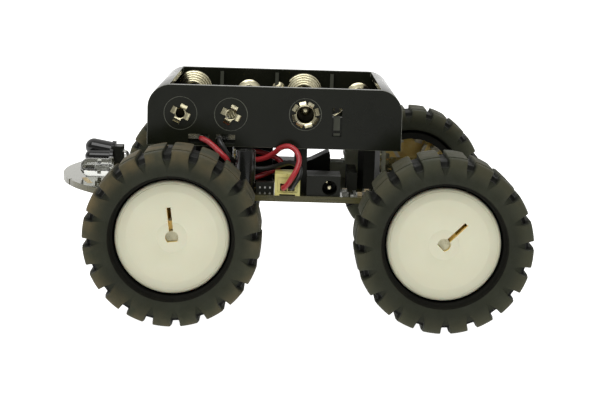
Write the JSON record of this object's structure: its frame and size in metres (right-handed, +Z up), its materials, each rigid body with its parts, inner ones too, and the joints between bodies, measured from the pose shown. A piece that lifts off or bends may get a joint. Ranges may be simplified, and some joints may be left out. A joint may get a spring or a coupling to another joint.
{
  "type": "four wheel robot chassis",
  "caption": "Small wheeled robot base: a rounded-nose circuit board on geared motor wheels with lugged tyres, carrying an open-top battery tray on standoffs.",
  "frame": {"origin": "on the ground under the middle of the whole robot (centre of its bounding box in plan)", "axes": "+X forward, towards the board's rounded nose; +Y to the robot's left; +Z up"},
  "size_m": [0.1204, 0.125, 0.0554],
  "materials": {
    "rubber": "matte black rubber with a dusty film",
    "rim_plastic": "cream moulded plastic, slightly translucent",
    "steel": "turned steel",
    "brass": "stamped brass plate",
    "can_metal": "nickel-plated drawn can",
    "cap_plastic": "off-white moulded plastic",
    "black_plastic": "fine-textured black moulded plastic",
    "board": "glossy black solder mask on glass-epoxy laminate",
    "contact_metal": "nickel-plated spring steel with a warm tone",
    "sleeve": "shrunk black plastic sleeve",
    "connector": "cream nylon",
    "red_wire": "red PVC insulation",
    "black_wire": "black PVC insulation",
    "clear_epoxy": "water-clear cast epoxy",
    "black_epoxy": "dark cast epoxy",
    "chip_plastic": "moulded chip package"
  },
  "bodies": {
    "chassis": {"gearbox_front_left": "brass", "motor_front_left": "can_metal", "motor_cap_front_left": "cap_plastic", "motor_bracket_front_left": "black_plastic", "gearbox_rear_left": "brass", "motor_rear_left": "can_metal", "motor_cap_rear_left": "cap_plastic", "motor_bracket_rear_left": "black_plastic", "gearbox_front_right": "brass", "motor_front_right": "can_metal", "motor_cap_front_right": "cap_plastic", "motor_bracket_front_right": "black_plastic", "gearbox_rear_right": "brass", "motor_rear_right": "can_metal", "motor_cap_rear_right": "cap_plastic", "motor_bracket_rear_right": "black_plastic", "circuit_board": "board", "battery_tray": "black_plastic", "contact_far_front": "contact_metal", "contact_far_rear": "contact_metal", "contact_near_plus": "contact_metal", "contact_near_middle": "contact_metal", "contact_near_minus": "contact_metal", "star_rivet_1": "contact_metal", "star_rivet_2": "contact_metal", "crown_eyelet": "contact_metal", "standoff_1": "black_plastic", "tray_screw_1": "steel", "standoff_2": "black_plastic", "tray_screw_2": "steel", "standoff_3": "black_plastic", "tray_screw_3": "steel", "standoff_4": "black_plastic", "tray_screw_4": "steel", "capacitor": "sleeve", "pin_socket": "black_plastic", "battery_header": "connector", "battery_plug": "connector", "red_lead": "red_wire", "black_lead": "black_wire", "power_jack": "black_plastic", "power_jack_pin": "steel", "infrared_lamp": "clear_epoxy", "infrared_receiver": "black_epoxy", "controller_chip": "chip_plastic", "driver_chip": "chip_plastic", "crystal": "can_metal", "expansion_socket": "black_plastic"},
    "wheel_front_left": {"tyre_front_left": "rubber", "rim_front_left": "rim_plastic", "output_shaft_front_left": "steel"},
    "wheel_rear_left": {"tyre_rear_left": "rubber", "rim_rear_left": "rim_plastic", "output_shaft_rear_left": "steel"},
    "wheel_front_right": {"tyre_front_right": "rubber", "rim_front_right": "rim_plastic", "output_shaft_front_right": "steel"},
    "wheel_rear_right": {"tyre_rear_right": "rubber", "rim_rear_right": "rim_plastic", "output_shaft_rear_right": "steel"}
  },
  "joints": [
    {"name": "wheel_front_left_spin", "type": "hinge", "parent": "chassis", "child": "wheel_front_left", "pos_m": [0.02625, 0.053, 0.0215], "axis": [0, 1, 0], "continuous": true},
    {"name": "wheel_rear_left_spin", "type": "hinge", "parent": "chassis", "child": "wheel_rear_left", "pos_m": [-0.03895, 0.053, 0.0215], "axis": [0, 1, 0], "continuous": true},
    {"name": "wheel_front_right_spin", "type": "hinge", "parent": "chassis", "child": "wheel_front_right", "pos_m": [0.02625, -0.053, 0.0215], "axis": [0, 1, 0], "continuous": true},
    {"name": "wheel_rear_right_spin", "type": "hinge", "parent": "chassis", "child": "wheel_rear_right", "pos_m": [-0.03895, -0.053, 0.0215], "axis": [0, 1, 0], "continuous": true}
  ]
}
